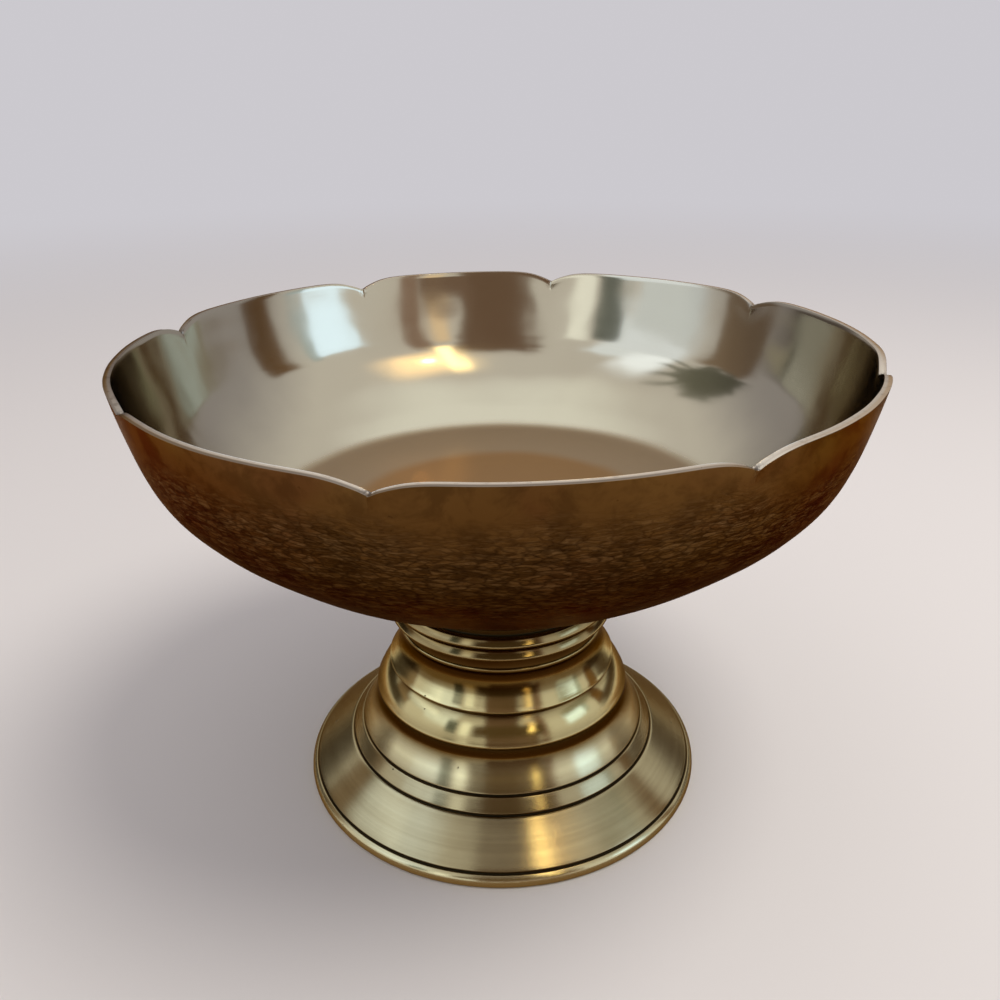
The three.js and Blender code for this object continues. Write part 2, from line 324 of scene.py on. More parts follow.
@dataclass(frozen=True)
class BowlFinish:
    """Brass polished inside, with painted shade at two sides; outside an aged brown patina and level scales,
    partly painted reflection.
    """

    polished: Colour = (0.74, 0.68, 0.49)
    tarnish: Colour = (0.55, 0.47, 0.31)
    # Painted shade on the left and right inner walls.
    painted_side_shade: Colour = (0.28, 0.25, 0.21)
    floor: Colour = (0.50, 0.385, 0.255)
    floor_middle: Colour = (0.465, 0.275, 0.118)
    # The outside's tones: partly patina, partly a painted reflection of a shadowed brown mat, with light
    # flecks of that painted reflection.
    olive: Colour = (0.250, 0.155, 0.055)
    russet: Colour = (0.220, 0.118, 0.046)
    dark: Colour = (0.055, 0.031, 0.012)
    fleck: Colour = (0.500, 0.380, 0.215)
    ground_edge: Colour = (0.93, 0.83, 0.66)
    # The rim edge's dark tone: worn dull patches, and painted shade on its left side and outer half.
    dull_and_shaded_edge: Colour = (0.17, 0.13, 0.10)
    filings: Colour = (0.16, 0.14, 0.12)
    edge_tint: Colour = (0.57, 0.52, 0.48)
    patina_edge_tint: Colour = (0.40, 0.24, 0.11)
    # Where the painted side shade begins and where it is full, out from the middle.
    side_shade_beyond_mm: float = 58.0
    side_shade_fully_mm: float = 82.0
    floor_radius_mm: float = 64.0
    middle_radius_mm: float = 42.0
    plain_above_mm: float = 123.0
    streaked_below_mm: float = 112.0
    dark_below_mm: float = 93.0
    edge_half_width_mm: float = 0.85
    scale_grain: tuple[float, float] = (310.0, 1080.0)
    thread_grain: tuple[float, float] = (560.0, 2700.0)
    stroke_grain: tuple[float, float] = (240.0, 1300.0)

    def outer(self, g: Graph) -> tuple[Wire, Wire, Wire]:
        """The brown patina outside, made darker and redder in places as a painted reflection of a shadowed
        brown mat.

        Irregular cells that are drawn out level lie like scales, with dark lines between them and light
        flecks in them, a painted reflection of the mat's braids. They fade out towards the rim, where soft
        mottles and a few dark specks take their place. It is darker towards the bottom, as painted shade.

        Args:
            g: the graph.

        Returns:
            Its colour, its roughness and the height of its bumps.
        """
        height = g.along("Z")
        uneven = (g.noise(g.place(), 35.0, 2.0) - 0.5) * mm(14)
        low = (height + uneven).between(mm(self.plain_above_mm), mm(self.streaked_below_mm))
        # Darker towards the bottom: painted shade.
        bottom = height.between(mm(self.dark_below_mm), mm(self.dark_below_mm - 9))
        patches = g.noise(g.place(), 21.0, 4.0, 0.6, 0.5)
        # Scales, threads and strokes: a painted reflection of a braided mat.
        gap, tone = g.cells(g.warped(g.swept(*self.scale_grain), 0.4, 2.2))
        thread_gap, thread = g.cells(g.warped(g.swept(*self.thread_grain), 0.4, 2.2))
        strokes = g.noise(g.swept(*self.stroke_grain), 1.0, 3.0, 0.6, 1.6)
        mottle = g.noise(g.place(), 120.0, 4.0, 0.62, 0.4)
        specks = g.noise(g.scaled(g.place(), 420, 420, 620), 1.0, 2.0).between(0.70, 0.78)
        light = tone.between(0.50, 0.95) * 0.14 + thread.between(0.55, 0.95) * 0.20
        lines = gap.between(0.20, 0.0) * 0.60 + thread_gap.between(0.12, 0.0) * 0.25
        colour = g.layered(
            self.olive,
            (patches.between(0.42, 0.60), self.russet),
            (mottle.between(0.58, 0.38) * 0.38, self.dark),
            (specks * (0.6 - low * 0.4), self.dark),
            (tone.between(0.50, 0.10) * low * 0.45, self.dark),
            (strokes.between(0.52, 0.36) * low * 0.55, self.dark),
            ((light + strokes.between(0.52, 0.70) * 0.22) * low, self.fleck),
            (lines * low, self.dark),
            (bottom * 0.3, self.dark),
        )
        rough = 0.30 + mottle * 0.12 + tone * low * 0.08
        return colour, rough, gap.least(0.3) * low * 1.5 + strokes * low * 0.6 + mottle * 0.25

    def inner(self, g: Graph) -> tuple[Wire, Wire]:
        """The polish inside, duller on the floor, and darker on the left and right walls as painted shade.

        Args:
            g: the graph.

        Returns:
            Its colour and its roughness.
        """
        radius, side = g.radius(), g.along("X").sized()
        wander = (g.noise(g.place(), 30.0, 3.0) - 0.5) * mm(5)
        clouds = g.noise(g.place(), 17.0, 3.0, 0.5)
        smudge = g.noise(g.place(), 62.0, 4.0, 0.6)
        spun = g.noise(g.swept(6.0, 2600.0), 1.0, 2.0)
        floor = (radius + wander * 0.4).between(mm(self.floor_radius_mm + 2), mm(self.floor_radius_mm - 3))
        middle = (radius + wander).between(mm(self.middle_radius_mm + 3), mm(self.middle_radius_mm - 3))
        # Painted shade: darker walls at the left and right.
        side_shade = (side + wander * 2.0).between(mm(self.side_shade_beyond_mm), mm(self.side_shade_fully_mm))
        colour = g.layered(
            self.polished,
            (clouds.between(0.46, 0.80) * 0.3, self.tarnish),
            (side_shade * 0.8, self.painted_side_shade),
            (floor, self.floor),
            (middle * 0.8, self.floor_middle),
        )
        return colour, 0.07 + smudge * 0.08 + spun * 0.03 + floor * 0.45

    def material(self) -> Material:
        """The finish as a material.

        Returns:
            A material that reads the marks run, beyond and filed.
        """
        g = Graph("bowl_brass")
        beyond, filed = g.mark("beyond"), g.mark("filed")
        inside = beyond.between(mm(-0.2), mm(0.2))
        reach = self.edge_half_width_mm
        edge = beyond.sized().between(mm(reach + 0.12), mm(reach - 0.06))
        outer, outer_rough, outer_height = self.outer(g)
        inner, inner_rough = self.inner(g)
        worn = g.noise(g.place(), 420.0, 3.0, 0.6)
        side = g.along("X")
        # Dull worn patches, and painted shade on the left of the rim's edge.
        dull_and_shaded = (side + worn * mm(30)).between(mm(-25), mm(-80)) * 0.75 + worn.between(0.5, 0.75) * 0.3
        # Painted shadow on the outer half of the rim's edge, except on the right.
        outer_edge_shadow = beyond.between(mm(0.35), mm(-0.45)) * side.between(mm(62), mm(18)) * 0.8
        scratches = g.noise(g.scaled(g.place(), 2600, 900, 1500), 1.0, 2.0)
        file_marks = (filed * scratches.between(0.35, 0.6), self.filings)
        ground = g.layered(self.ground_edge, (dull_and_shaded.most(outer_edge_shadow).least(1.0), self.dull_and_shaded_edge), file_marks)
        edge_rough = 0.24 + worn * 0.12
        sides = (
            (outer, outer_rough, outer_height, self.patina_edge_tint),
            (inner, inner_rough, inner_rough * 0.0, self.edge_tint),
        )
        shaders = {0: inside}
        for number, (plain, rough, height, tint) in enumerate(sides, 1):
            bumps = g.bumps(height * (1 - edge) + scratches * filed * 2.5, mm(0.030))
            rough = rough + (edge_rough - rough) * edge
            shaders[number] = g.metal(g.layered(plain, (edge, ground)), rough, bumps, edge_tint=tint)
        return g.ended(g.node("MixShader", inputs=shaders))


@dataclass(frozen=True)
class TurnedFinish:
    """Turned brass with fine tool marks, brown coves, dirt in its cut lines, small dark pits, and painted
    light.

    The mark of stain and shade is 0 on clean metal, 1 where it is brown and 2 where it is black. The brown
    is patina in part, and in part painted shade and painted reflection on the coves, the beads and the
    undersides of the band and swell. The black is dirt in cut lines and joints, and painted shade in the
    recess under the bowl. Below a set height the metal is paler, as a painted reflection.
    """

    name: str
    bright: Colour
    shade: Colour
    roughness: float
    anisotropy: float
    # Brown patina, also laid on as painted shade and painted reflection.
    patina_and_shade: Colour = (0.155, 0.082, 0.016)
    # Black dirt, also laid on as painted shade under the bowl.
    dirt_and_shade: Colour = (0.030, 0.026, 0.012)
    edge_tint: Colour = (0.64, 0.55, 0.40)
    # Paler below a set height: a painted reflection.
    painted_reflection_pale: Colour = (0.98, 0.91, 0.54)
    brushed_and_lit_below_mm: float = 0.0
    brushed_roughness: float = 0.08
    marks_depth_mm: float = 0.010
    pit_grain: float = 620.0
    mark_grain: float = 4800.0

    def material(self) -> Material:
        """The finish as a material.

        Returns:
            A material that reads the marks run and hollow, and the mark of stain and painted shade.
        """
        g = Graph(self.name)
        stain_and_shade, hollow = g.mark("stain_and_shade"), g.mark("hollow")
        tool = g.noise(g.swept(8.0, self.mark_grain), 1.0, 3.0, 0.7)
        bands = g.noise(g.swept(5.0, 700.0), 1.0, 3.0, 0.6)
        cloud = g.noise(g.place(), 42.0, 4.0, 0.62)
        pits = g.noise(g.place(), self.pit_grain, 0.0).between(0.86, 0.90)
        # Below a set height: rougher, and paler as a painted reflection.
        brushed_and_lit = g.along("Z").between(mm(self.brushed_and_lit_below_mm + 2), mm(self.brushed_and_lit_below_mm - 2))
        # Black: dirt in cut lines, small pits, and painted shade under the bowl.
        dirt_and_shade = (stain_and_shade - 1).between(0.1, 0.7).most(pits * 0.85)
        # Brown: patina, with painted shade and painted reflection.
        brown = (stain_and_shade * (0.75 + cloud * 0.5) + (bands - 0.5) * stain_and_shade * 0.4).least(1.0)
        colour = g.layered(
            self.bright,
            (cloud.between(0.40, 0.78) * 0.3 + bands * 0.2, self.shade),
            (brushed_and_lit * (0.95 - bands * 0.3), self.painted_reflection_pale),
            (brown, self.patina_and_shade),
            (dirt_and_shade, self.dirt_and_shade),
            (hollow * 0.7, self.patina_and_shade),
        )
        rough = self.roughness + brushed_and_lit * self.brushed_roughness + tool * 0.06 + dirt_and_shade * 0.3 + hollow * 0.2
        height = tool * (1 - hollow) - pits * 2 + cloud * hollow * 6
        normal = g.bumps(height, mm(self.marks_depth_mm))
        shader = g.metal(colour, rough, normal, 1 - dirt_and_shade * 0.5, self.anisotropy, self.edge_tint)
        return g.ended(shader)


def catmull_rom(points: Array, steps: int) -> Array:
    """A smooth line through points.

    Each stretch is the cubic whose slope at a point is half the way from the point before it to the point
    after it. At the two ends the missing neighbour is the end point itself.

    Args:
        points: the points, one a row.
        steps: steps in each stretch.

    Returns:
        The points of the line, one a row.
    """
    before = np.vstack([points[:1], points[:-2]])
    after = np.vstack([points[2:], points[-1:]])
    start, end = points[:-1], points[1:]
    leave, arrive = (end - before) / 2, (after - start) / 2
    t = (np.arange(steps) / steps)[None, :, None]
    a, b, m, n = (v[:, None, :] for v in (start, end, leave, arrive))
    curve = a + m * t + (3 * (b - a) - 2 * m - n) * t**2 + (2 * (a - b) + m + n) * t**3
    return np.vstack([curve.reshape(-1, 2), points[-1:]])


def rounded(corners: Array, cut: Array, steps: int = 8) -> Array:
    """An outline with each corner eased by a quadratic curve.

    The curve starts and ends on the two sides, at the cut length but no further than the side's middle. The
    first and the last corner stay as they are.

    Args:
        corners: the corners, one a row: radius, height, and any further values, which are eased too.
        cut: each corner's cut length.
        steps: points in each curve.

    Returns:
        The eased outline.
    """
    middle = corners[1:-1]
    ends = []
    for way in (corners[:-2] - middle, corners[2:] - middle):
        reach = np.linalg.norm(way[:, :2], axis=1)
        share = np.minimum(cut[1:-1], reach * NEAR_HALF) / reach
        ends.append((middle + way * share[:, None])[:, None, :])
    t = np.linspace(0, 1, steps)[None, :, None]
    curve = (1 - t) ** 2 * ends[0] + 2 * t * (1 - t) * middle[:, None, :] + t**2 * ends[1]
    return np.vstack([corners[:1], curve.reshape(-1, corners.shape[1]), corners[-1:]])


def bell(distance: Array, reach_mm: float) -> Array:
    """A share that is 1 at no distance, and falls as exp(-(distance / reach)^2)."""
    return np.exp(-((distance / mm(reach_mm)) ** 2))


def lengths(line: Array) -> Array:
    """How far along a line each of its points lies."""
    return np.concatenate([[0], np.cumsum(np.linalg.norm(np.diff(line[:, :2], axis=0), axis=1))])


def resampled(line: Array, count: int, bend: float) -> tuple[Array, Array]:
    """A line's points spread anew, closer together where it bends.

    A point's place in the row is the length so far plus bend times the angle turned so far.

    Args:
        line: the line, one point a row: radius, height, and any further values.
        count: points wanted.
        bend: metres of length that one radian of turning counts as.

    Returns:
        The new points, and each one's length along the line.
    """
    run = lengths(line)
    fine = np.linspace(0, run[-1], count * FINE_STEPS)
    dense = np.column_stack([np.interp(fine, run, values) for values in line.T])
    step = np.diff(dense[:, :2], axis=0)
    heading = np.unwrap(np.arctan2(step[:, 1], step[:, 0]))
    turned_so_far = np.concatenate([[0], np.cumsum(np.abs(np.diff(heading))), [0]])
    turned_so_far[-1] = turned_so_far[-2]
    measure = fine + bend * turned_so_far
    spread = np.interp(np.linspace(0, measure[-1], count), measure, fine)
    points = np.column_stack([np.interp(spread, fine, values) for values in dense.T])
    return points, spread


def ripples(points: Array, wavelength: float, count: int, seed: int) -> Array:
    """Smooth random unevenness in space, about -1 to 1.

    It is the sum of plane cosine waves of random direction and phase, with lengths near the one given.

    Args:
        points: places, the last axis being X, Y and Z.
        wavelength: the mean length of the waves.
        count: how many waves.
        seed: the seed of the draw.

    Returns:
        The sum at each place.
    """
    draw = np.random.default_rng(seed)
    ways = draw.normal(size=(count, 3))
    ways /= np.linalg.norm(ways, axis=1)[:, None]
    pace = TURN / (wavelength * draw.uniform(0.7, 1.4, count))
    phase = draw.uniform(0, TURN, count)
    return np.cos(points @ (ways * pace[:, None]).T + phase).sum(-1) * math.sqrt(2 / count) / 2


def linked(name: str, data: bpy.types.ID) -> Object:
    """A new object in the scene.

    Args:
        name: its name.
        data: its mesh, light or camera.

    Returns:
        The object.
    """
    thing = bpy.data.objects.new(name, data)
    bpy.context.scene.collection.objects.link(thing)
    return thing


def meshed(name: str, points: Array, faces: Sequence[Sequence[int]], marks: Mapping[str, Array]) -> Object:
    """A new mesh object.

    Args:
        name: its name.
        points: its points, one a row.
        faces: the points of each face.
        marks: a value for each point, kept as an attribute.

    Returns:
        The object.
    """
    mesh = bpy.data.meshes.new(name)
    mesh.from_pydata(points.tolist(), [], faces)
    for mark, value in marks.items():
        mesh.attributes.new(mark, "FLOAT", "POINT").data.foreach_set("value", value.astype(np.float32))
    return linked(name, mesh)


def sheet(name: str, centre: Sequence[float], side: Sequence[float], up: Sequence[float]) -> Object:
    """A flat piece of one face, with the marks across and upward, which run from -1 to 1.

    Args:
        name: its name.
        centre: its middle.
        side: the way from there to the middle of one edge.
        up: the way to the middle of the next edge.

    Returns:
        The piece.
    """
    signs = np.array([(-1, -1), (1, -1), (1, 1), (-1, 1)], float)
    points = np.array(centre) + signs @ np.array([side, up], float)
    return meshed(name, points, [(0, 1, 2, 3)], {"across": signs[:, 0], "upward": signs[:, 1]})


def grid_mesh(name: str, rings: Array, marks: Mapping[str, Array], open_line: bool = False) -> Object:
    """A closed, smooth mesh from rings of points.

    Ring i is joined to ring i + 1 by one quad a column, and each ring closes on itself. On an open line the
    first and last rings lie on the axis and are one point each, with a fan of triangles. Otherwise the last
    ring is joined to the first. Faces are turned about if the volume comes out negative.

    Args:
        name: the piece's name.
        rings: points by ring and column.
        marks: values by ring and column, kept as attributes of the points.
        open_line: whether the line runs from axis to axis.

    Returns:
        The piece.
    """
    columns = rings.shape[1]
    index = np.arange(rings[..., 0].size).reshape(-1, columns)
    keep = index.ravel()
    if open_line:
        keep = keep[columns - 1 : 1 - columns]
        index = np.clip(index - columns + 1, 0, len(keep) - 1)
    else:
        index = np.vstack([index, index[:1]])
    points = rings.reshape(-1, 3)[keep]
    beside = np.roll(index, -1, 1)
    quads = np.stack([index[:-1], beside[:-1], beside[1:], index[1:]], -1)
    triangles = np.zeros((0, 3), int)
    if open_line:
        triangles = np.vstack([quads[0, :, 1:], quads[-1, :, :3]])
        quads = quads[1:-1]
    quads = quads.reshape(-1, 4)
    corners = points[quads]
    around = np.cross(corners[:, 1] - corners[:, 0], corners[:, 2] - corners[:, 0])
    if (around * corners[:, 0]).sum() < 0:
        quads, triangles = quads[:, ::-1], triangles[:, ::-1]
    values = {mark: value.ravel()[keep] for mark, value in marks.items()}
    piece = meshed(name, points, quads.tolist() + triangles.tolist(), values)
    piece.data.shade_smooth()
    return piece


def spun(radius: Array, height: Array, angles: Array) -> Array:
    """Points at those radii and heights, spun round the axis to each angle, by ring and column."""
    return np.stack([radius * np.sin(angles), -radius * np.cos(angles), height + 0 * angles], -1)


def swept(outline: Array, angles: Array) -> Array:
    """An outline of radius and height, turned to each angle."""
    return spun(outline[:, :1], outline[:, 1:2], angles)


def even_angles(count: int) -> Array:
    """Angles in even steps round a full turn."""
    return np.arange(count) / count * TURN


def placed(x: Array, y: Array, z: Array, place: Sequence[float]) -> Matrix:
    """The matrix of a thing with those axes at that place."""
    columns = np.column_stack([x, y, z, place])
    return Matrix([*columns.tolist(), (0, 0, 0, 1)])


def rolled(side: Array, up: Array, degrees: float) -> tuple[Array, Array]:
    """Two axes, turned from the first towards the second by that many degrees."""
    c, s = math.cos(math.radians(degrees)), math.sin(math.radians(degrees))
    return side * c + up * s, up * c - side * s


@dataclass
class Part:
    """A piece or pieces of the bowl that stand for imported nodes."""

    def dress(self, piece: Object, node: str, slot: Slot, material: Material) -> None:
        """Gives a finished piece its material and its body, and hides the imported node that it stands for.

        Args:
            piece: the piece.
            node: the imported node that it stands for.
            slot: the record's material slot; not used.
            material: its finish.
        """
        piece.data.materials.append(material)
        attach(piece, ROOT)
        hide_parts(node)
        log.info("%s: %d faces", piece.name, len(piece.data.polygons))


@dataclass
class Bowl(Part):
    """The spun bowl with its lobed rim."""

    node: str = "bowl"
    wall_mm: float = 1.7
    seat_radius_mm: float = 39.0
    flat_share: float = 0.97
    floor_bend: tuple[tuple[float, float], ...] = (
        (0, 0), (0.339, 0.026), (0.414, 0.036), (0.461, 0.054), (0.507, 0.088),
    )
    wall_bend: tuple[tuple[float, float], ...] = (
        (0.596, 0.165), (0.752, 0.321), (0.862, 0.476), (0.92, 0.628), (0.97, 0.835), (1, 1),
    )
    notch_degrees: tuple[float, ...] = (-13.8, 29.4, 74.0, 122.4, 168.4, 209.2, 254.4, 300.6)
    notch_dip_mm: float = 2.7
    notch_spread_mm: float = 5.8
    pinch_mm: float = 0.7
    cusp_power: float = 1.5
    cusp_depth_mm: float = 2.4
    step_mm: float = 0.2
    step_spread_mm: float = 4.0
    step_depth_mm: float = 1.1
    file_width_mm: float = 1.25
    file_depth_mm: float = 0.35
    file_reach_mm: float = 1.8
    crease_mm: float = 12.0
    drawn_in_mm: float = 0.2
    drawn_in_spread_mm: float = 16.0
    drawn_in_depth_mm: float = 36.0
    edge_round_mm: float = 0.3
    corner_round_mm: float = 0.4
    bend_counts_mm: float = 5.0
    crowding: float = 0.8
    # The ripples in the wall: depth and length in millimetres, how many waves, and the seed of their draw.
    uneven: tuple[tuple[float, float, int, int], ...] = ((0.055, 18.0, 48, 7), (0.011, 6.5, 64, 8))
    even_within_mm: float = 40.0
    columns_per_lobe: int = 84
    rings: int = 148
    finish: BowlFinish = field(default_factory=BowlFinish)

    def outline(self, rim_radius: float, low: float, high: float) -> tuple[Array, ...]:
        """The bowl's section, from the middle of its underside over the rim to the middle of its floor.

        The outer line is a smooth curve through the bend points. The inner line is the same one, moved
        inwards by the wall along its own normal.

        Args:
            rim_radius: the rim's outer radius.
            low: the height of the seat.
            high: the height of the rim.

        Returns:
            The section's points, each one's length along it, and how far it lies beyond the middle of the
            rim's edge, which is less than 0 outside.
        """
        seat, wall = mm(self.seat_radius_mm), mm(self.wall_mm)
        bend = np.array(self.floor_bend + self.wall_bend)
        knots = (seat, low) + bend * (rim_radius - seat, high - low)
        outer = catmull_rom(knots, FINE_STEPS)
        way = np.gradient(outer, axis=0)
        way /= np.linalg.norm(way, axis=1)[:, None]
        inner = outer + wall * np.column_stack([-way[:, 1], way[:, 0]])
        inner[0] = (seat, low + wall)
        inner[-1, 1] = high
        inner = inner[inner[:, 0] >= seat - 1e-9]
        flat = seat * self.flat_share
        under, floor = [(0, low), (flat, low)], [(flat, low + wall), (0, low + wall)]
        line = np.vstack([under, outer[1:], inner[::-1], floor])
        cut = np.full(len(line), mm(self.corner_round_mm))
        cut[[len(outer), len(outer) + 1]] = mm(self.edge_round_mm)
        line = rounded(line, cut)
        points, run = resampled(line, self.rings, mm(self.bend_counts_mm))
        crown = run[points[:, 1] > high - mm(0.05)]
        return points, run, run - (crown.min() + crown.max()) / 2

    def angles(self) -> tuple[Array, ...]:
        """Columns round the rim, crowded towards the notches.

        Within a lobe, an even share t moves to t - crowding sin(2 pi t) / (2 pi).

        Returns:
            Each column's angle from the front, and from the nearest notch, and which side of that it is on.
        """
        notches = np.radians(np.array(self.notch_degrees))
        following = np.append(notches[1:], notches[0] + TURN)
        t = np.arange(self.columns_per_lobe) / self.columns_per_lobe
        t = t - self.crowding * np.sin(TURN * t) / TURN
        angle = notches[:, None] + (following - notches)[:, None] * t
        past, ahead = angle - notches[:, None], following[:, None] - angle
        return angle.ravel(), np.minimum(past, ahead).ravel(), np.where(past <= ahead, 1.0, -1.0).ravel()

    def build(self) -> None:
        """Makes the bowl's mesh and dresses it.

        At s round the rim from a notch and h below the rim, the wall comes in by pinch, and goes down by
        dip, times a share exp(-(s / spread)^p) that fades as exp(-(h / crease)^2). The power p rises from
        cusp_power at the rim, for a pointed notch, to 2 below it, for a soft bell. Near the rim, the lobe
        after a notch starts further out than the lobe before it ends. The file's cut adds a narrow bell,
        and slow ripples make the wall a little uneven.
        """
        lowest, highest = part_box(self.node)
        rim_radius = max(highest.x, highest.y)
        points, run, beyond = self.outline(rim_radius, lowest.z, highest.z)
        angle, away, side_of = self.angles()
        rings = swept(points, angle)
        arc = (away * rim_radius)[None, :]
        down = (highest.z - points[:, 1])[:, None]
        power = 2 - (2 - self.cusp_power) * bell(down, self.cusp_depth_mm)
        share = np.exp(-((arc / mm(self.notch_spread_mm)) ** power)) * bell(down, self.crease_mm)
        filed = bell(arc, self.file_width_mm) * bell(down, self.file_reach_mm)
        stepped = mm(self.step_mm) * side_of * np.exp(-arc / mm(self.step_spread_mm))
        inwards = mm(self.pinch_mm) * share - stepped * bell(down, self.step_depth_mm)
        drawn = bell(arc, self.drawn_in_spread_mm) * bell(down, self.drawn_in_depth_mm)
        inwards = inwards + mm(self.drawn_in_mm) * drawn
        out = np.stack([np.sin(angle), -np.cos(angle)], -1)[None, :, :]
        bumps = sum(mm(deep) * ripples(rings, mm(long), *draw) for deep, long, *draw in self.uneven)
        bumps = bumps * np.clip(points[:, :1] / mm(self.even_within_mm), 0, 1)
        rings[:, :, :2] += out * (bumps - inwards)[:, :, None]
        rings[:, :, 2] -= mm(self.notch_dip_mm) * share + mm(self.file_depth_mm) * filed
        marks = {"run": run[:, None] + 0 * arc, "beyond": beyond[:, None] + 0 * arc, "filed": filed}
        piece = grid_mesh("spun_bowl", rings, marks, open_line=True)
        self.dress(piece, self.node, Slot.BOWL, self.finish.material())


Corner = tuple[float, float, float, float]


@dataclass
class TurnedPart(Part):
    """A piece that was turned on a lathe, and how finely its outline is swept."""

    columns: int
    rings: int
    bend_counts_mm: float = 2.2

    def turn(self, name: str, corners: Sequence[Corner], hollow_from: int) -> Object:
        """Sweeps an outline round the axis.

        Args:
            name: the piece's name.
            corners: each corner's radius, height and cut length in millimetres, and its share of stain and
                painted shade, from the top edge down the outside, and back up the inside to the start.
            hollow_from: the number of the corner from which the outline is inside.

        Returns:
            The piece, with the marks run and hollow, and the mark of stain and painted shade.
        """
        data = np.array(corners)
        inside = (np.arange(len(data)) >= hollow_from).astype(float)
        data = np.column_stack([data, inside]) * (MM, MM, MM, 1, 1)
        data = np.vstack([data, data[:1]])
        line = rounded(data[:, [0, 1, 3, 4]], data[:, 2])
        points, run = resampled(line, self.rings + 1, mm(self.bend_counts_mm))
        points, run = points[:-1], run[:-1]
        rings = swept(points, even_angles(self.columns))
        lines = {"run": run, "stain_and_shade": points[:, 2], "hollow": points[:, 3]}
        marks = {key: np.repeat(value[:, None], self.columns, 1) for key, value in lines.items()}
        return grid_mesh(name, rings, marks)


@dataclass
class Collar(TurnedPart):
    """The turned ring with two beads between the bowl and the foot, flaring to a lip under the bowl."""

    node: str = "neck_collar"
    columns: int = 360
    rings: int = 220
    ring_radius_mm: float = 29.6
    top_radius_mm: float = 38.0
    land_radius_mm: float = 29.0
    bore_radius_mm: float = 25.0
    bead_height_mm: float = 3.7
    bead_base_mm: float = 3.2
    finish: TurnedFinish = TurnedFinish("collar_brass", (0.86, 0.76, 0.40), (0.56, 0.42, 0.16), 0.08, 0.4)

    def bead(self, crown: float) -> list[Corner]:
        """One half-round bead.

        Args:
            crown: the height of its upper end.

        Returns:
            Its corners, from the groove over it to the groove under it.
        """
        ring, foot = self.ring_radius_mm, crown - self.bead_height_mm
        # The last value is brown on the crest as painted reflection, and black in the groove below.
        return [
            (ring + 1.1, crown - 0.25, 0.6, 0.9), (ring + 2.1, crown - 1.9, 0.9, 0.55),
            (ring + 2.35, crown - 2.7, 0.6, 0.65), (ring + 1.4, crown - 3.45, 0.6, 1.0),
            (ring + 0.2, foot, 0.12, 1.8),
        ]

    def build(self) -> None:
        """Makes the collar's mesh and dresses it."""
        lowest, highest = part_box(self.node)
        base, top = lowest.z / MM, highest.z / MM
        crown = base + self.bead_base_mm + 2 * self.bead_height_mm
        ring, wide, bore = self.ring_radius_mm, self.top_radius_mm, self.bore_radius_mm
        # The last value is the stain: the flare under the bowl is black as painted shade.
        rows = [
            (wide, top, 0.25, 0.5), (wide, top - 1.4, 0.35, 0.3), (wide - 0.9, top - 1.9, 0.3, 1.0),
            (wide - 4.6, top - 6.4, 4.0, 1.1), (ring + 0.7, top - 13.5, 5.0, 1.15),
            (ring + 0.3, crown + 2.9, 0.3, 1.3), (ring + 0.9, crown + 2.5, 0.2, 0.3),
            (ring + 0.9, crown + 2.1, 0.2, 0.3), (ring + 0.2, crown + 1.8, 0.3, 1.4),
            (ring, crown + 0.4, 0.5, 1.3), (ring, crown + 0.05, 0.12, 1.8),
        ]
        rows += self.bead(crown) + self.bead(crown - self.bead_height_mm)
        land = self.land_radius_mm
        rows += [(land, base + 2.4, 0.3, 0.9), (land, base + 0.5, 0.3, 0.8), (land + 0.05, base, 0.15, 0.8)]
        inside = len(rows)
        rows += [(bore, base, 0.4, 0.5), (bore, crown, 2.0, 0.5), (wide - 8.0, top - 7.0, 4.0, 0.5)]
        rows += [(wide - 4.0, top, 0.4, 0.5)]
        piece = self.turn("beaded_collar", rows, inside)
        self.dress(piece, self.node, Slot.COLLAR, self.finish.material())


